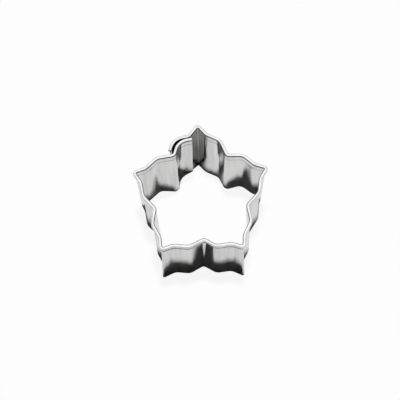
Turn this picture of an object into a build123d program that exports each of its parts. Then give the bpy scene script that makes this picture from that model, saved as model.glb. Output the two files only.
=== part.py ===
from build123d import *
from math import acos, cos, radians, sin, tan
import os

# Five-petal pastry cutter: one strip of tinned steel, hemmed along its top edge,
# bent into a pointed five-petal flower, lapped on itself and spot welded.
# Millimetres. +Z up, +Y towards the petal that holds the seam. The origin is
# under the middle of the cutter, on the face of the cutting edge.

# Strip
petal_reach = 20.0
cutter_height = 25.4
sheet = 0.3
hem_width = 1.0
hem_depth = 2.5

# Hem: a round bead whose leg folds back against the wall
bead_bend_radius = 0.33
bead_depth = 1.0
neck_drop = 0.35
neck_bend_radius = 0.25
layer_gap = 0.03

# Bends of the wall, on the middle of the sheet
tip_radius = 0.4
flare_radius = 3.8
shoulder_radius = 2.8
valley_radius = 1.4
lap_flare_radius = 2.0
lap_shoulder_radius = 3.6
lap_outer_shoulder_radius = 4.0

# Seam: the outer layer rests on the inner one below, and rides over its hem above
hem_clearance = 0.08
free_end_spring = 0.55
layers_part_height = 16.0
weld_radius = 0.8
weld_first_height = 4.0
weld_spacing = 5.0
weld_count = 3

# One petal: how far across and how far below its crown each bend lies
flare_across_share = 0.1025
flare_drop_share = 0.1325
shoulder_across_share = 0.2975
shoulder_drop_share = 0.235

# Petals from the left one round by the front: degrees from +X, and reach
rim_tip_shares = ((160.5, 0.985), (235.0, 1.005), (304.0, 1.005), (19.0, 0.99), (90.5, 1.01))
foot_tip_shares = ((159.5, 0.965), (234.5, 1.05), (304.5, 1.055), (23.0, 0.99), (91.0, 0.955))

# At the foot the shoulders hang from a crown that lies behind or before the tip
foot_crown_shares = ((159.5, 1.0), (234.5, 1.0), (304.5, 1.005), (23.0, 1.03), (91.0, 0.965))

# The valley that follows each petal
rim_valley_shares = ((199.5, 0.68), (272.0, 0.70), (340.5, 0.675), (54.0, 0.655), (121.5, 0.665))
foot_valley_shares = ((198.5, 0.655), (270.0, 0.685), (340.5, 0.71), (54.5, 0.65), (123.0, 0.625))

# The inner layer's end and its shoulder, as shares of the reach along X and Y
rim_inner_end_shares = (-0.0975, 0.805)
rim_inner_shoulder_shares = (-0.29, 0.7775)
foot_inner_end_shares = (-0.11, 0.8525)
foot_inner_shoulder_shares = (-0.2975, 0.75)
lap_tail_share = 0.03
lap_end_rise_share = 0.0675
weld_along_share = 0.5

# Where a bend has grown too large for its runs, the bends fill this much of them
bent_run_share = 0.95

# Where the outer layer's shoulder is the wider bend, it may take this much of the clearance
spare_clearance_share = 0.5

hem_bottom = cutter_height - hem_depth


def polar(angle, reach):
    return Vector(reach * cos(radians(angle)), reach * sin(radians(angle)))


def blend(start, end, share):
    return start + (end - start) * share


def outward(start, end):
    """Unit normal to the right of a run; the flower's outside, as the strip turns left."""
    run = (end - start).normalized()
    return Vector(run.Y, -run.X)


def moved_corner(before, corner, after, first_shift, second_shift):
    """Where two runs meet once each is moved to its right by its own distance."""
    first = outward(before, corner)
    second = outward(corner, after)
    cross = first.X * second.Y - first.Y * second.X
    x = (first_shift * second.Y - second_shift * first.Y) / cross
    y = (first.X * second_shift - second.X * first_shift) / cross
    return corner + Vector(x, y)


def moved_path(corners, radii, shift):
    """Corners and bend radii of a path that lies a shift to the right of another."""
    moved = [corners[0] + outward(corners[0], corners[1]) * shift]
    moved_radii = []
    for before, corner, after, radius in zip(corners, corners[1:], corners[2:], radii):
        moved.append(moved_corner(before, corner, after, shift, shift))
        first = outward(before, corner)
        second = outward(corner, after)
        turns_left = first.X * second.Y > first.Y * second.X
        moved_radii.append(radius + shift if turns_left else radius - shift)
    moved.append(corners[-1] + outward(corners[-2], corners[-1]) * shift)
    return moved, moved_radii


def turn_at(before, corner, after):
    first = (corner - before).normalized()
    second = (after - corner).normalized()
    return acos(first.X * second.X + first.Y * second.Y)


def fitted_radii(corners, radii):
    """Bend radii, cut down only where two bends need more than the run between them."""
    bend_reaches = [0]
    for before, corner, after, radius in zip(corners, corners[1:], corners[2:], radii):
        bend_reaches.append(radius * tan(turn_at(before, corner, after) / 2))
    bend_reaches.append(0)
    fits = [1] * len(corners)
    for index, (start, end) in enumerate(zip(corners, corners[1:])):
        needed = bend_reaches[index] + bend_reaches[index + 1]
        fit = (end - start).length * bent_run_share / needed
        fits[index] = min(fits[index], fit)
        fits[index + 1] = min(fits[index + 1], fit)
    return [radius * fit for radius, fit in zip(radii, fits[1:])]


def draw_sheet(corners, radii):
    """Closed outline of a bent sheet, drawn round its middle line."""
    right_points, right_radii = moved_path(corners, radii, sheet / 2)
    left_points, left_radii = moved_path(corners, radii, -sheet / 2)
    FilletPolyline(*right_points, radius=right_radii)
    FilletPolyline(*left_points, radius=left_radii)
    Line(right_points[0], left_points[0])
    Line(right_points[-1], left_points[-1])


def petal_corners(tip, crown):
    """Shoulder, flare, tip, flare and shoulder of one petal."""
    out = crown.normalized()
    across = Vector(out.Y, -out.X)
    flare_in = out * (flare_drop_share * petal_reach)
    flare_aside = across * (flare_across_share * petal_reach)
    shoulder_in = out * (shoulder_drop_share * petal_reach)
    shoulder_aside = across * (shoulder_across_share * petal_reach)
    return [
        crown - shoulder_in + shoulder_aside,
        crown - flare_in + flare_aside,
        tip,
        crown - flare_in - flare_aside,
        crown - shoulder_in - shoulder_aside,
    ]


def polar_corners(foot_shares, rim_shares, share):
    """Corners at one share of the wall's height, from those of the foot and the rim."""
    corners = []
    for foot, rim in zip(foot_shares, rim_shares):
        foot_corner = polar(foot[0], foot[1] * petal_reach)
        rim_corner = polar(rim[0], rim[1] * petal_reach)
        corners.append(blend(foot_corner, rim_corner, share))
    return corners


def lap_shift(thickness, clearance, shoulder_turn):
    """How far out the outer layer lies, and further where its wider bend would touch the inner one."""
    apart = thickness + clearance
    wider_by = lap_outer_shoulder_radius - lap_shoulder_radius - apart
    cut_in = wider_by * (1 / cos(shoulder_turn / 2) - 1)
    return apart + max(cut_in - clearance * spare_clearance_share, 0)


def layer_shifts(height, shoulder_turn):
    """How far out the outer layer lies at one height, along the flat and along the petal's side."""
    parting = max(height - layers_part_height, 0) / (hem_bottom - layers_part_height)
    resting = lap_shift(sheet, layer_gap, shoulder_turn)
    over_hem = lap_shift(hem_width, hem_clearance, shoulder_turn)
    sprung = lap_shift(hem_width, free_end_spring, shoulder_turn)
    return blend(resting, over_hem, parting), blend(resting, sprung, parting)


def strip_middle(height):
    """Corners and radii of the sheet's middle line, from the inner end to the outer."""
    share = height / hem_bottom
    tips = polar_corners(foot_tip_shares, rim_tip_shares, share)
    crowns = polar_corners(foot_crown_shares, rim_tip_shares, share)
    valleys = polar_corners(foot_valley_shares, rim_valley_shares, share)
    end_shares = blend(Vector(*foot_inner_end_shares), Vector(*rim_inner_end_shares), share)
    shoulder_shares = blend(
        Vector(*foot_inner_shoulder_shares),
        Vector(*rim_inner_shoulder_shares),
        share,
    )
    inner_end = end_shares * petal_reach
    inner_shoulder = shoulder_shares * petal_reach
    seam_valley = valleys[-1]

    corners = [inner_end, inner_shoulder, seam_valley]
    radii = [lap_shoulder_radius, valley_radius]
    petal_radii = [shoulder_radius, flare_radius, tip_radius, flare_radius, shoulder_radius]
    for tip, crown, valley in zip(tips[:-1], crowns, valleys):
        corners += petal_corners(tip, crown) + [valley]
        radii += petal_radii + [valley_radius]
    corners += petal_corners(tips[-1], crowns[-1])[:3]
    radii += petal_radii[:3]

    shoulder_turn = turn_at(inner_end, inner_shoulder, seam_valley)
    flat_shift, side_shift = layer_shifts(height, shoulder_turn)
    tail = (inner_shoulder - inner_end).normalized() * (lap_tail_share * petal_reach)
    rise = (inner_shoulder - seam_valley).normalized() * (lap_end_rise_share * petal_reach)
    flat_out = outward(inner_end, inner_shoulder)
    side_out = outward(inner_shoulder, seam_valley)
    corners.append(inner_end + tail + flat_out * flat_shift)
    corners.append(moved_corner(inner_end, inner_shoulder, seam_valley, flat_shift, side_shift))
    corners.append(seam_valley + rise + side_out * side_shift)
    radii += [lap_flare_radius, lap_outer_shoulder_radius]
    return corners, fitted_radii(corners, radii)


# Weld nuggets, from the middle of one layer to the middle of the other
with BuildPart() as spot_welds:
    for number in range(weld_count):
        weld_height = weld_first_height + number * weld_spacing
        end, shoulder, valley = strip_middle(weld_height)[0][:3]
        weld_axis = outward(end, shoulder)
        nugget_length = layer_shifts(weld_height, turn_at(end, shoulder, valley))[0]
        nugget_middle = blend(end, shoulder, weld_along_share) + weld_axis * (nugget_length / 2)
        nugget_middle += Vector(0, 0, weld_height)
        with Locations(Plane(origin=nugget_middle, z_dir=weld_axis)):
            Cylinder(weld_radius, nugget_length)

# The strip: its plain wall, then the hem rolled outward along the top
with BuildPart() as cutter_strip:
    for level in (0, layers_part_height, hem_bottom):
        with BuildSketch(Plane.XY.offset(level)):
            with BuildLine():
                draw_sheet(*strip_middle(level))
            make_face()
    loft(ruled=True)
    rim_corners, rim_radii = strip_middle(hem_bottom)
    with BuildLine(Plane.XY.offset(hem_bottom)) as rim_path:
        FilletPolyline(*rim_corners, radius=rim_radii)
    bead_aside = hem_width - sheet
    bead_top = hem_depth - sheet / 2
    leg_aside = sheet + layer_gap
    bead_low = hem_depth - bead_depth
    hem_corners = [
        Vector(0, 0),
        Vector(0, bead_top),
        Vector(bead_aside, bead_top),
        Vector(bead_aside, bead_low),
        Vector(leg_aside, bead_low - neck_drop),
        Vector(leg_aside, 0),
    ]
    hem_radii = fitted_radii(
        hem_corners,
        [bead_bend_radius, bead_bend_radius, neck_bend_radius, neck_bend_radius],
    )
    hem_plane = Plane(
        origin=rim_corners[0] + Vector(0, 0, hem_bottom),
        x_dir=outward(rim_corners[0], rim_corners[1]),
        z_dir=rim_corners[0] - rim_corners[1],
    )
    with BuildSketch(hem_plane):
        with BuildLine():
            draw_sheet(hem_corners, hem_radii)
        make_face()
    sweep(path=rim_path.line)
    add(spot_welds.part, mode=Mode.SUBTRACT)

# The origin goes under the middle of the cutter
middle = cutter_strip.part.bounding_box().center()
to_origin = Location((-middle.X, -middle.Y, 0))
cutter_strip.part.move(to_origin)
spot_welds.part.move(to_origin)
cutter_strip.part.label = "cutter_strip"
spot_welds.part.label = "spot_welds"

os.makedirs("parts", exist_ok=True)
export_step(cutter_strip.part, "parts/cutter_strip.step")
export_step(spot_welds.part, "parts/spot_welds.step")
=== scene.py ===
import bpy
import math
from mathutils import Matrix, Vector, noise


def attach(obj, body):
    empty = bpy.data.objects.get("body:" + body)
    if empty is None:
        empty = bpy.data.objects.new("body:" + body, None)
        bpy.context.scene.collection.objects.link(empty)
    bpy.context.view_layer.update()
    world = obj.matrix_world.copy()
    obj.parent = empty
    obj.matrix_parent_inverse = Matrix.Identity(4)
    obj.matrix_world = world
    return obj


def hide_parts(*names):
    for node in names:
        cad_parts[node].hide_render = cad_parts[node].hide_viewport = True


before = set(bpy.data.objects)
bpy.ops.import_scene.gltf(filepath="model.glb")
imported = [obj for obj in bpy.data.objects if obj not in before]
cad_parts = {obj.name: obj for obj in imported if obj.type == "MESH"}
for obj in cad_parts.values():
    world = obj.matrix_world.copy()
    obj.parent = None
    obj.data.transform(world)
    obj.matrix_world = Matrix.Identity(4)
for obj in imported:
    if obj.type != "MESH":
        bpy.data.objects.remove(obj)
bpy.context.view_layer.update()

MM = 0.001

# The strip, in millimetres, with the same sizes as the CAD part
PETAL_REACH = 20.0
CUTTER_HEIGHT = 25.4
SHEET = 0.3
HEM_WIDTH = 1.0
HEM_DEPTH = 2.5
BEAD_BEND_RADIUS = 0.33
BEAD_DEPTH = 1.0
NECK_DROP = 0.35
NECK_BEND_RADIUS = 0.25
LAYER_GAP = 0.03
TIP_RADIUS = 0.4
FLARE_RADIUS = 3.8
SHOULDER_RADIUS = 2.8
VALLEY_RADIUS = 1.4
LAP_FLARE_RADIUS = 2.0
LAP_SHOULDER_RADIUS = 3.6
LAP_OUTER_SHOULDER_RADIUS = 4.0
HEM_CLEARANCE = 0.08
TOP_CLEARANCE = 0.002
FREE_END_SPRING = 0.55
LAYERS_PART_HEIGHT = 16.0
WELD_HEIGHTS = (4.0, 9.0, 14.0)
WELD_ALONG_SHARE = 0.5
HEM_BOTTOM = CUTTER_HEIGHT - HEM_DEPTH

# The petals' bends, as shares of the reach
FLARE_ACROSS_SHARE = 0.1025
FLARE_DROP_SHARE = 0.1325
SHOULDER_ACROSS_SHARE = 0.2975
SHOULDER_DROP_SHARE = 0.235
LAP_TAIL_SHARE = 0.03
LAP_END_RISE_SHARE = 0.0675

# Petals from the left one round by the front: degrees from +X, and reach
RIM_TIPS = ((160.5, 0.985), (235.0, 1.005), (304.0, 1.005), (19.0, 0.99), (90.5, 1.01))
FOOT_TIPS = ((159.5, 0.965), (234.5, 1.05), (304.5, 1.055), (23.0, 0.99), (91.0, 0.955))
FOOT_CROWNS = ((159.5, 1.0), (234.5, 1.0), (304.5, 1.005), (23.0, 1.03), (91.0, 0.965))
RIM_VALLEYS = ((199.5, 0.68), (272.0, 0.70), (340.5, 0.675), (54.0, 0.655), (121.5, 0.665))
FOOT_VALLEYS = ((198.5, 0.655), (270.0, 0.685), (340.5, 0.71), (54.5, 0.65), (123.0, 0.625))
RIM_INNER_END = Vector((-0.0975, 0.805))
RIM_INNER_SHOULDER = Vector((-0.29, 0.7775))
FOOT_INNER_END = Vector((-0.11, 0.8525))
FOOT_INNER_SHOULDER = Vector((-0.2975, 0.75))

# How finely the strip is divided
BEND_STEPS = 8
RUN_STOPS = (0.01, 0.05, 0.25, 0.5, 0.75, 0.95, 0.99)
WALL_STEP = 1.25
WELD_STEP = 0.25
HEM_BEND_STEPS = 6
HEM_RUN_STOPS = (0.03, 0.35, 0.65, 0.97)
CUT_EDGE_EASE = 0.8
CUT_EDGE_EASE_HEIGHT = 0.03
SHARP_ANGLE = 50

# Marks of the making. The crease is pressed by its own share of its depth along the rim.
CREASE_DEPTH = 0.1
CREASE_SPREAD = 0.6
CREASE_ROWS_REACH = 1.2
CREASE_LENGTH = 6.0
CREASE_DRAW = 26.25
CREASE_SHARE = 0.4
CREASE_SHARE_CHANGE = 0.9
CREASE_SHARE_LIMITS = (0.1, 0.7)
CREASE_GROWTH = 4.0
DIMPLE_DEPTH = 0.04
DIMPLE_RADIUS = 1.1
WAVE_DEPTH = 0.02
WAVE_LENGTH = 4.0
WAVE_HEIGHT = 16.0
SEAM_REACH = 9.0

# Millimetres to one unit of the sheet's texture map
MAP_UNIT = 10

# Bands of the hem, as their middle and half width over the sheet from the foot; the bead top band takes a painted
# highlight and the other three take painted shade lines
BEAD_TOP = (25.46, 0.36)
ROLL_START = (24.85, 0.28)
NECK = (26.72, 0.28)
LEG_FOOT = (22.7, 0.2)

# Tinplate: its tones from dark to light, and the spread of its marks
WALL_TONES = ((0.6, 0.6, 0.595), (0.71, 0.71, 0.705))
# Bead tones: a painted highlight, much lighter than the wall
BEAD_HIGHLIGHT_TONES = ((0.9, 0.9, 0.895), (0.97, 0.97, 0.965))
# Line tones: painted shade along the roll's start, the neck and just under the folded leg
LINE_SHADE_TONES = ((0.12, 0.12, 0.115), (0.38, 0.38, 0.37))
PLAIN_ENDS = (0.3, 0.7)
STREAK_STRETCH = (12, 0.8, 1)
STREAK_DETAIL = 4.0
GRAIN_SCALE = 60.0
CLOUD_SCALE = 0.3
CLOUD_SPAN = (0.35, 0.65)
CLOUD_SHARES = (0.89, 1.05)
TIN_ROUGHNESS = (0.07, 0.15)
TIN_BUMP = (0.15, 0.01 * MM)

# Weld metal
WELD_TONES = ((0.34, 0.33, 0.32), (0.52, 0.51, 0.5))
WELD_GRAIN_SCALE = 4 / MM
WELD_ROUGHNESS = (0.3, 0.55)
WELD_BUMP = (0.4, 0.02 * MM)

# Painted shade in the rear petal's inner corner: its reach along the rim to either side of the tip, and
# the share of light it leaves from the low height to the high one
CORNER_SHADE_REACH = 3.4
CORNER_SHADE_EDGE = 0.9
CORNER_SHADE_SHARE_LOW = 0.36
CORNER_SHADE_SHARE_HIGH = 0.66
CORNER_SHADE_LOW = 11.0
CORNER_SHADE_HIGH = 22.0

# Painted shade on the wall just below the folded leg: heights where it is full and where it ends, and the share of
# light it leaves
FOLD_SHADE_FULL = 22.1
FOLD_SHADE_FOOT = 21.4
FOLD_SHADE_SHARE = 0.2

# Camera, as fitted to the photograph's rim and cutting edge
IMAGE_SIDE = 400
FOCAL_PIXELS = 1261
SENSOR_WIDTH = 36.0
CAMERA_ELEVATION = 68.5
CAMERA_DISTANCE = 370.4 * MM
CAMERA_ROLL = -2.2
CAMERA_CLIP = (0.01, 10)
AIM = Vector((-0.404, 0.61, 12.7)) * MM

# Lamp: a wide soft box high above the cutter and a little behind it
KEY_PLACE = Vector((26, 124, 1300)) * MM
KEY_SIZE = (113 * MM, 75 * MM)
KEY_POWER = 16.2

# World: white from overhead down to the studio's dark sides, as mirrored by the metal
WORLD_FILL = 0.005
SIDES_LEVEL = 0.05
SIDES_TOP = 0.25
SKY_START = 0.42
BEFORE_FIRST_DIFFUSE = 0.5

# Floor: the share of it that is plain white to the camera, and to the metal from near to far
FLOOR_SIDE = 3.0
FLOOR_COLOUR = 0.85
FLOOR_WHITE_SHARE = 0.9
FLOOR_NEAR = 35 * MM
FLOOR_FAR = 120 * MM


def polar(angle, reach):
    return Vector((math.cos(math.radians(angle)), math.sin(math.radians(angle)))) * reach


def outward(start, end):
    """Unit normal to the right of a run, which is the flower's outside."""
    run = (end - start).normalized()
    return Vector((run.y, -run.x))


def moved_corner(before, corner, after, first_shift, second_shift):
    """Where two runs meet once each is moved to its right by its own distance."""
    first = outward(before, corner)
    second = outward(corner, after)
    cross = first.x * second.y - first.y * second.x
    x = (first_shift * second.y - second_shift * first.y) / cross
    y = (first.x * second_shift - second.x * first_shift) / cross
    return corner + Vector((x, y))


def petal_corners(tip, crown):
    """Shoulder, flare, tip, flare and shoulder of one petal."""
    out = crown.normalized()
    across = Vector((out.y, -out.x))
    flare_in = out * FLARE_DROP_SHARE * PETAL_REACH
    flare_aside = across * FLARE_ACROSS_SHARE * PETAL_REACH
    shoulder_in = out * SHOULDER_DROP_SHARE * PETAL_REACH
    shoulder_aside = across * SHOULDER_ACROSS_SHARE * PETAL_REACH
    return [
        crown - shoulder_in + shoulder_aside,
        crown - flare_in + flare_aside,
        tip,
        crown - flare_in - flare_aside,
        crown - shoulder_in - shoulder_aside,
    ]


def polar_corners(foot_shares, rim_shares, share):
    corners = []
    for (foot_angle, foot_reach), (rim_angle, rim_reach) in zip(foot_shares, rim_shares):
        foot = polar(foot_angle, foot_reach * PETAL_REACH)
        rim = polar(rim_angle, rim_reach * PETAL_REACH)
        corners.append(foot.lerp(rim, share))
    return corners


def strip_middle(height):
    """Corners and bend radii of the sheet's middle line at one height, from the inner end to the outer."""
    share = height / HEM_BOTTOM
    tips = polar_corners(FOOT_TIPS, RIM_TIPS, share)
    crowns = polar_corners(FOOT_CROWNS, RIM_TIPS, share)
    valleys = polar_corners(FOOT_VALLEYS, RIM_VALLEYS, share)
    inner_end = FOOT_INNER_END.lerp(RIM_INNER_END, share) * PETAL_REACH
    inner_shoulder = FOOT_INNER_SHOULDER.lerp(RIM_INNER_SHOULDER, share) * PETAL_REACH
    seam_valley = valleys[-1]
    corners = [inner_end, inner_shoulder, seam_valley]
    radii = [LAP_SHOULDER_RADIUS, VALLEY_RADIUS]
    petal_radii = [SHOULDER_RADIUS, FLARE_RADIUS, TIP_RADIUS, FLARE_RADIUS, SHOULDER_RADIUS]
    for tip, crown, valley in zip(tips[:-1], crowns, valleys):
        corners += petal_corners(tip, crown) + [valley]
        radii += petal_radii + [VALLEY_RADIUS]
    corners += petal_corners(tips[-1], crowns[-1])[:3]
    radii += petal_radii[:3]

    parting = max(height - LAYERS_PART_HEIGHT, 0) / (HEM_BOTTOM - LAYERS_PART_HEIGHT)
    resting = SHEET + LAYER_GAP
    flat_shift = resting + (HEM_WIDTH + HEM_CLEARANCE - resting) * parting
    side_shift = resting + (HEM_WIDTH + FREE_END_SPRING - resting) * parting
    tail = (inner_shoulder - inner_end).normalized() * LAP_TAIL_SHARE * PETAL_REACH
    rise = (inner_shoulder - seam_valley).normalized() * LAP_END_RISE_SHARE * PETAL_REACH
    corners.append(inner_end + tail + outward(inner_end, inner_shoulder) * flat_shift)
    corners.append(moved_corner(inner_end, inner_shoulder, seam_valley, flat_shift, side_shift))
    corners.append(seam_valley + rise + outward(inner_shoulder, seam_valley) * side_shift)
    radii += [LAP_FLARE_RADIUS, LAP_OUTER_SHOULDER_RADIUS]
    return corners, radii


def bend_points(before, corner, after, radius, steps):
    """Points and right-hand normals along one rounded corner."""
    first = (corner - before).normalized()
    second = (after - corner).normalized()
    turn = math.atan2(first.x * second.y - first.y * second.x, first.dot(second))
    side = math.copysign(1, turn)
    start = corner - first * radius * math.tan(abs(turn) / 2)
    centre = start + Vector((-first.y, first.x)) * radius * side
    points = []
    for step in range(steps + 1):
        angle = turn * step / steps
        normal = Matrix.Rotation(angle, 2) @ Vector((first.y, -first.x))
        points.append((centre + normal * radius * side, normal))
    return points


def rounded_path(corners, radii, bend_steps, run_stops):
    """Points and right-hand normals along a path, as many on every path of as many corners."""
    points = []
    run_start = corners[0]
    for before, corner, after, radius in zip(corners, corners[1:], corners[2:], radii):
        bend = bend_points(before, corner, after, radius, bend_steps)
        points += run_points(run_start, bend[0][0], run_stops, not points)
        points += bend
        run_start = bend[-1][0]
    points += run_points(run_start, corners[-1], run_stops, False)
    points.append((corners[-1], outward(run_start, corners[-1])))
    return points


def run_points(start, end, run_stops, with_start):
    normal = outward(start, end)
    stops = (0,) + run_stops if with_start else run_stops
    return [(start.lerp(end, stop), normal) for stop in stops]


def wall_heights():
    """Heights of the rows on the plain wall, closer together at the welds."""
    heights = [0, CUT_EDGE_EASE_HEIGHT]
    count = round(HEM_BOTTOM / WELD_STEP)
    stride = round(WALL_STEP / WELD_STEP)
    for number in range(1, count):
        height = HEM_BOTTOM * number / count
        near_weld = min(abs(height - weld) for weld in WELD_HEIGHTS) < DIMPLE_RADIUS
        near_crease = HEM_BOTTOM - height < CREASE_ROWS_REACH
        if near_weld or near_crease or number % stride == 0:
            heights.append(height)
    return heights


def section_stations():
    """Middle of the sheet from the foot to the hem's end: distance out, height, and the way it faces."""
    stations = [(0, height, Vector((1, 0))) for height in wall_heights()]
    bead_aside = HEM_WIDTH - SHEET
    bead_top = CUTTER_HEIGHT - TOP_CLEARANCE - SHEET / 2
    leg_aside = SHEET + LAYER_GAP
    bead_low = CUTTER_HEIGHT - BEAD_DEPTH
    corners = [
        Vector((0, HEM_BOTTOM)),
        Vector((0, bead_top)),
        Vector((bead_aside, bead_top)),
        Vector((bead_aside, bead_low)),
        Vector((leg_aside, bead_low - NECK_DROP)),
        Vector((leg_aside, HEM_BOTTOM)),
    ]
    radii = [BEAD_BEND_RADIUS, BEAD_BEND_RADIUS, NECK_BEND_RADIUS, NECK_BEND_RADIUS]
    for point, normal in rounded_path(corners, radii, HEM_BEND_STEPS, HEM_RUN_STOPS):
        stations.append((point.x, point.y, normal))
    return stations


def weld_places():
    """Middle of each weld on the inner layer, with its height."""
    places = []
    for height in WELD_HEIGHTS:
        end, shoulder = strip_middle(height)[0][:2]
        places.append((end.lerp(shoulder, WELD_ALONG_SHARE), height))
    return places


def dimple(point, height, places):
    """How deep the welding electrode has pressed one layer's open face here."""
    depth = 0
    for place, weld_height in places:
        distance = math.hypot((point - place).length, height - weld_height)
        if distance < DIMPLE_RADIUS:
            depth += DIMPLE_DEPTH * (1 - (distance / DIMPLE_RADIUS) ** 2) ** 2
    return depth


def wave(length, height, whole):
    """Inward shift of the wall where hand bending left it uneven, none at the seam."""
    from_end = min(length, whole - length)
    strength = min(max(from_end / SEAM_REACH - 1, 0), 1)
    unevenness = noise.noise(Vector((length / WAVE_LENGTH, height / WAVE_HEIGHT, 0)))
    bulge = strength * WAVE_DEPTH * (1 + unevenness) / 2
    change = CREASE_SHARE_CHANGE * noise.noise(Vector((length / CREASE_LENGTH, 0, CREASE_DRAW)))
    least, most = CREASE_SHARE_LIMITS
    share = min(max(CREASE_SHARE + change, least), most)
    crease = share * CREASE_DEPTH * math.exp(-((height - HEM_BOTTOM) / CREASE_SPREAD) ** 2)
    return -bulge - min(strength * CREASE_GROWTH, 1) * crease


def strip_columns(height):
    """Points of the middle line at one height, each with its normal and its length along the path."""
    corners, radii = strip_middle(height)
    columns = []
    length = 0
    last = corners[0]
    for point, normal in rounded_path(corners, radii, BEND_STEPS, RUN_STOPS):
        length += (point - last).length
        last = point
        columns.append((point, normal, length))
    return columns


def add_strip():
    """The bent and hemmed strip as one smooth mesh."""
    stations = section_stations()
    places = weld_places()
    wall_count = len(wall_heights())
    rim_columns = strip_columns(HEM_BOTTOM)
    inner_skin = []
    outer_skin = []
    whole = rim_columns[-1][2]
    for index, (aside, height, facing) in enumerate(stations):
        columns = strip_columns(height) if index < wall_count else rim_columns
        eased = index in (0, len(stations) - 1)
        inner_row = []
        outer_row = []
        for number, (point, normal, _) in enumerate(columns):
            length = rim_columns[number][2]
            half = SHEET / 2
            if eased or number in (0, len(columns) - 1):
                half *= CUT_EDGE_EASE
            shift = aside + wave(length, height, whole)
            pressed = dimple(point, height, places) if index < wall_count else 0
            first_layer = length < whole / 2
            inner_half = half - (pressed if first_layer else 0)
            outer_half = half - (0 if first_layer else pressed)
            inner_flat = point + normal * (shift - facing.x * inner_half)
            outer_flat = point + normal * (shift + facing.x * outer_half)
            inner_row.append((inner_flat.x, inner_flat.y, height - facing.y * inner_half, length))
            outer_row.append((outer_flat.x, outer_flat.y, height + facing.y * outer_half, length))
        inner_skin.append(inner_row)
        outer_skin.append(outer_row)
    rows = inner_skin + outer_skin[::-1]
    return strip_object(rows, stations)


def strip_object(rows, stations):
    """Mesh object from the rows that run round the sheet's section."""
    columns = len(rows[0])
    low_x = min(point[0] for row in rows for point in row)
    high_x = max(point[0] for row in rows for point in row)
    low_y = min(point[1] for row in rows for point in row)
    high_y = max(point[1] for row in rows for point in row)
    middle = Vector(((low_x + high_x) / 2, (low_y + high_y) / 2, 0))
    vertices = [(Vector(point[:3]) - middle) * MM for row in rows for point in row]
    faces = []
    for row in range(len(rows)):
        following = (row + 1) % len(rows)
        for column in range(columns - 1):
            faces.append((
                row * columns + column,
                row * columns + column + 1,
                following * columns + column + 1,
                following * columns + column,
            ))
    last = len(rows) - 1
    for row in range(len(stations) - 1):
        start = (row, row + 1, last - row - 1, last - row)
        faces.append(tuple(place * columns for place in start))
        faces.append(tuple(place * columns + columns - 1 for place in reversed(start)))
    mesh = bpy.data.meshes.new("bent_strip")
    mesh.from_pydata(vertices, [], faces)
    mesh.update()
    mesh.shade_smooth()
    mesh.set_sharp_from_angle(angle=math.radians(SHARP_ANGLE))
    add_sheet_map(mesh, rows, stations, columns)
    strip = bpy.data.objects.new("bent_strip", mesh)
    bpy.context.collection.objects.link(strip)
    return strip


def add_sheet_map(mesh, rows, stations, columns):
    """Texture map along the strip, and across it from the foot over the bead."""
    across = [0]
    for (aside, height, _), (next_aside, next_height, _) in zip(stations, stations[1:]):
        across.append(across[-1] + math.hypot(next_aside - aside, next_height - height))
    across += across[::-1]
    layer = mesh.uv_layers.new(name="sheet")
    for loop in mesh.loops:
        row, column = divmod(loop.vertex_index, columns)
        layer.data[loop.index].uv = (rows[row][column][3] / MAP_UNIT, across[row] / MAP_UNIT)


def add_camera():
    data = bpy.data.cameras.new("camera")
    data.sensor_width = SENSOR_WIDTH
    data.lens = SENSOR_WIDTH * FOCAL_PIXELS / IMAGE_SIDE
    data.clip_start, data.clip_end = CAMERA_CLIP
    camera = bpy.data.objects.new("camera", data)
    bpy.context.collection.objects.link(camera)
    tilt = math.radians(CAMERA_ELEVATION)
    back = Vector((0, -math.cos(tilt), math.sin(tilt)))
    turn = Matrix.Rotation(math.radians(90 - CAMERA_ELEVATION), 4, "X")
    roll = Matrix.Rotation(math.radians(CAMERA_ROLL), 4, "Z")
    camera.matrix_world = Matrix.Translation(AIM + back * CAMERA_DISTANCE) @ turn @ roll
    bpy.context.scene.camera = camera


def add_key():
    """The soft box, which lights the floor and the strip but is not mirrored."""
    data = bpy.data.lights.new("key", "AREA")
    data.shape = "RECTANGLE"
    data.size, data.size_y = KEY_SIZE
    data.energy = KEY_POWER
    lamp = bpy.data.objects.new("key", data)
    bpy.context.collection.objects.link(lamp)
    lamp.location = KEY_PLACE
    lamp.rotation_mode = "QUATERNION"
    lamp.rotation_quaternion = KEY_PLACE.to_track_quat("Z", "Y")
    lamp.visible_glossy = False


def add_node(tree, kind, inputs=None, **settings):
    """A new node with its settings, each input fed by a socket or set to a value."""
    node = tree.nodes.new(kind)
    for name, value in settings.items():
        setattr(node, name, value)
    for name, value in (inputs or {}).items():
        if isinstance(value, bpy.types.NodeSocket):
            tree.links.new(value, node.inputs[name])
        else:
            node.inputs[name].default_value = value
    return node


def calculated(tree, operation, *terms):
    """Result of one calculation on sockets and numbers."""
    return add_node(tree, "ShaderNodeMath", dict(enumerate(terms)), operation=operation).outputs["Value"]


def ranged(tree, value, before, after=(0.0, 1.0), interpolation="LINEAR"):
    """A value carried over from one range to another."""
    inputs = {
        "Value": value,
        "From Min": before[0],
        "From Max": before[1],
        "To Min": after[0],
        "To Max": after[1],
    }
    return add_node(tree, "ShaderNodeMapRange", inputs, interpolation_type=interpolation).outputs["Result"]


def mixed(tree, factor, first, second, **settings):
    inputs = {"Factor": factor, "A": first, "B": second}
    return add_node(tree, "ShaderNodeMix", inputs, **settings).outputs["Result"]


def tinted(tree, factor, colour, tint):
    """A colour multiplied by a tint as far as the factor says."""
    return mixed(tree, factor, colour, tint, data_type="RGBA", blend_type="MULTIPLY")


def noise_texture(tree, vector, scale, detail=2.0):
    inputs = {"Vector": vector, "Scale": scale, "Detail": detail}
    return add_node(tree, "ShaderNodeTexNoise", inputs).outputs["Fac"]


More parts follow.
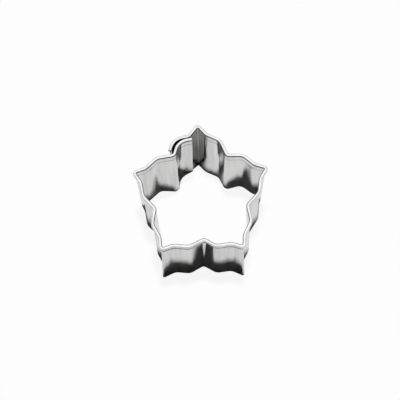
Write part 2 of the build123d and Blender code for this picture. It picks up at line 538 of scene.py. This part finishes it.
def ramp(tree, factor, tones, ends=(0.0, 1.0)):
    """Colour between two tones."""
    node = add_node(tree, "ShaderNodeValToRGB", {"Fac": factor})
    for element, tone, end in zip(node.color_ramp.elements, tones, ends):
        element.position = end
        element.color = (*tone, 1)
    return node.outputs["Color"]


def bump(tree, height, strength, distance):
    inputs = {"Height": height, "Strength": strength, "Distance": distance}
    return add_node(tree, "ShaderNodeBump", inputs).outputs["Normal"]


def mirrored_ray(tree, paths):
    """1 for rays that metal mirrors or glass lets through, on their way to the camera."""
    mirrored = calculated(tree, "MAXIMUM", paths.outputs["Is Glossy Ray"], paths.outputs["Is Transmission Ray"])
    direct = calculated(tree, "LESS_THAN", paths.outputs["Diffuse Depth"], BEFORE_FIRST_DIFFUSE)
    return calculated(tree, "MULTIPLY", mirrored, direct)


def add_world():
    """A sky with dark sides for what is mirrored, white behind the object, and hardly any fill."""
    world = bpy.data.worlds.new("studio")
    bpy.context.scene.world = world
    world.use_nodes = True
    tree = world.node_tree
    paths = add_node(tree, "ShaderNodeLightPath")
    generated = add_node(tree, "ShaderNodeTexCoord").outputs["Generated"]
    upward = add_node(tree, "ShaderNodeSeparateXYZ", {"Vector": generated}).outputs["Z"]
    sky = ranged(tree, upward, (SIDES_TOP, SKY_START), (SIDES_LEVEL, 1.0), "SMOOTHSTEP")
    mirrored = mixed(tree, mirrored_ray(tree, paths), WORLD_FILL, sky)
    seen = mixed(tree, paths.outputs["Is Camera Ray"], mirrored, 1.0)
    background = tree.nodes["Background"]
    background.inputs["Color"].default_value = (1, 1, 1, 1)
    tree.links.new(seen, background.inputs["Strength"])


def add_floor():
    mesh = bpy.data.meshes.new("floor")
    half = FLOOR_SIDE / 2
    corners = [(-half, -half, 0), (half, -half, 0), (half, half, 0), (-half, half, 0)]
    mesh.from_pydata(corners, [], [(0, 1, 2, 3)])
    floor = bpy.data.objects.new("floor", mesh)
    bpy.context.collection.objects.link(floor)
    mesh.materials.append(floor_material())


def floor_material():
    """White paper, which metal mirrors with its shadows near the cutter and plain white further off."""
    material = bpy.data.materials.new("floor")
    material.use_nodes = True
    tree = material.node_tree
    tree.nodes.clear()
    paths = add_node(tree, "ShaderNodeLightPath")
    place = add_node(tree, "ShaderNodeTexCoord").outputs["Object"]
    distance = add_node(tree, "ShaderNodeVectorMath", {0: place}, operation="LENGTH").outputs["Value"]
    far = ranged(tree, distance, (FLOOR_NEAR, FLOOR_FAR), interpolation="SMOOTHSTEP")
    mirrored_far = calculated(tree, "MULTIPLY", mirrored_ray(tree, paths), far)
    shown = calculated(tree, "MAXIMUM", paths.outputs["Is Camera Ray"], mirrored_far)
    share = calculated(tree, "MULTIPLY", shown, FLOOR_WHITE_SHARE)

    paper = add_node(tree, "ShaderNodeBsdfDiffuse", {"Color": (FLOOR_COLOUR, FLOOR_COLOUR, FLOOR_COLOUR, 1)})
    white = add_node(tree, "ShaderNodeEmission")
    inputs = {0: share, 1: paper.outputs["BSDF"], 2: white.outputs["Emission"]}
    shown_floor = add_node(tree, "ShaderNodeMixShader", inputs).outputs["Shader"]
    add_node(tree, "ShaderNodeOutputMaterial", {"Surface": shown_floor})
    return material


def new_metal(name):
    material = bpy.data.materials.new(name)
    material.use_nodes = True
    shader = material.node_tree.nodes["Principled BSDF"]
    shader.inputs["Metallic"].default_value = 1.0
    return material, material.node_tree, shader


def tinned_steel():
    """Bright tinplate: streaks of bending up the wall, a painted highlight on the bead along the top, and painted
    shade lines along the hem, under the folded leg and in the rear petal's inner corner.
    """
    material, tree, shader = new_metal("tinned_steel")
    sheet = add_node(tree, "ShaderNodeUVMap", uv_map="sheet").outputs["UV"]
    place = add_node(tree, "ShaderNodeSeparateXYZ", {"Vector": sheet})
    along = place.outputs["X"]
    across = place.outputs["Y"]
    stretch = add_node(tree, "ShaderNodeMapping", {"Vector": sheet, "Scale": STREAK_STRETCH})
    streaks = noise_texture(tree, stretch.outputs["Vector"], 1.0, STREAK_DETAIL)
    clouds = noise_texture(tree, stretch.outputs["Vector"], CLOUD_SCALE)
    grain = noise_texture(tree, sheet, GRAIN_SCALE)

    # Painted highlight on the bead top
    bead_highlight = ramp(tree, grain, BEAD_HIGHLIGHT_TONES, PLAIN_ENDS)
    # Painted shade lines for the roll's start, the neck and the leg's foot
    line_shade = ramp(tree, streaks, LINE_SHADE_TONES)
    colour = ramp(tree, streaks, WALL_TONES, PLAIN_ENDS)
    for (middle, half_width), tone in ((BEAD_TOP, bead_highlight), (ROLL_START, line_shade), (NECK, line_shade), (LEG_FOOT, line_shade)):
        inside = calculated(tree, "COMPARE", across, middle / MAP_UNIT, half_width / MAP_UNIT)
        colour = mixed(tree, inside, colour, tone, data_type="RGBA")
    colour = tinted(tree, 1.0, colour, ranged(tree, clouds, CLOUD_SPAN, CLOUD_SHARES))
    # Painted shade on the outer wall just below the folded leg
    colour = tinted(tree, fold_painted_shade(tree, across), colour, (FOLD_SHADE_SHARE, FOLD_SHADE_SHARE, FOLD_SHADE_SHARE, 1))
    # Painted shade in the rear petal's inner corner, darker towards the bottom
    corner_shade_heights = (CORNER_SHADE_LOW / MAP_UNIT, CORNER_SHADE_HIGH / MAP_UNIT)
    corner_shade_share = ranged(tree, across, corner_shade_heights, (CORNER_SHADE_SHARE_LOW, CORNER_SHADE_SHARE_HIGH))
    colour = tinted(tree, corner_painted_shade(tree, along), colour, corner_shade_share)

    tree.links.new(colour, shader.inputs["Base Color"])
    tree.links.new(ranged(tree, streaks, (0.0, 1.0), TIN_ROUGHNESS), shader.inputs["Roughness"])
    tree.links.new(bump(tree, streaks, *TIN_BUMP), shader.inputs["Normal"])
    return material


def skin(tree, side):
    """1 on the inner skin where the side is LESS_THAN, on the outer one where it is GREATER_THAN."""
    shape = add_node(tree, "ShaderNodeNewGeometry")
    inputs = {0: shape.outputs["Position"], 1: shape.outputs["Normal"]}
    facing_out = add_node(tree, "ShaderNodeVectorMath", inputs, operation="DOT_PRODUCT").outputs["Value"]
    return calculated(tree, side, facing_out, 0)


def corner_painted_shade(tree, along):
    """Mask of painted shade: 1 on the inner skin round the rear petal's tip, fading out to its flares."""
    from_tip = calculated(tree, "SUBTRACT", along, rear_tip_length() / MAP_UNIT)
    apart = calculated(tree, "ABSOLUTE", from_tip)
    ends = ((CORNER_SHADE_REACH + CORNER_SHADE_EDGE) / MAP_UNIT, (CORNER_SHADE_REACH - CORNER_SHADE_EDGE) / MAP_UNIT)
    near = ranged(tree, apart, ends, interpolation="SMOOTHSTEP")
    return calculated(tree, "MULTIPLY", near, skin(tree, "LESS_THAN"))


def rear_tip_length():
    """Length along the rim from the inner end to the rear petal's tip."""
    tip = polar(RIM_TIPS[-1][0], RIM_TIPS[-1][1] * PETAL_REACH)
    return min(strip_columns(HEM_BOTTOM), key=lambda column: (column[0] - tip).length)[2]


def fold_painted_shade(tree, across):
    """Mask of painted shade: 1 on the outer skin just below the folded leg, fading out down the wall."""
    fade = ranged(tree, across, (FOLD_SHADE_FOOT / MAP_UNIT, FOLD_SHADE_FULL / MAP_UNIT), interpolation="SMOOTHSTEP")
    below = calculated(tree, "LESS_THAN", across, HEM_BOTTOM / MAP_UNIT)
    on_wall = calculated(tree, "MULTIPLY", fade, below)
    return calculated(tree, "MULTIPLY", on_wall, skin(tree, "GREATER_THAN"))


def weld_steel():
    """Resolidified steel, duller than the tin round it."""
    material, tree, shader = new_metal("weld_steel")
    place = add_node(tree, "ShaderNodeTexCoord").outputs["Object"]
    grain = noise_texture(tree, place, WELD_GRAIN_SCALE)
    tree.links.new(ramp(tree, grain, WELD_TONES), shader.inputs["Base Color"])
    tree.links.new(ranged(tree, grain, (0.0, 1.0), WELD_ROUGHNESS), shader.inputs["Roughness"])
    tree.links.new(bump(tree, grain, *WELD_BUMP), shader.inputs["Normal"])
    return material


def dress():
    """Puts the drawn strip in place of the CAD one, and gives every piece its metal."""
    strip = add_strip()
    strip.data.materials.append(tinned_steel())
    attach(strip, "root")
    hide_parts("cutter_strip")
    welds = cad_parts["spot_welds"]
    welds.data.materials.clear()
    welds.data.materials.append(weld_steel())


bpy.context.scene.view_settings.view_transform = "Standard"
add_camera()
add_key()
add_world()
add_floor()
dress()
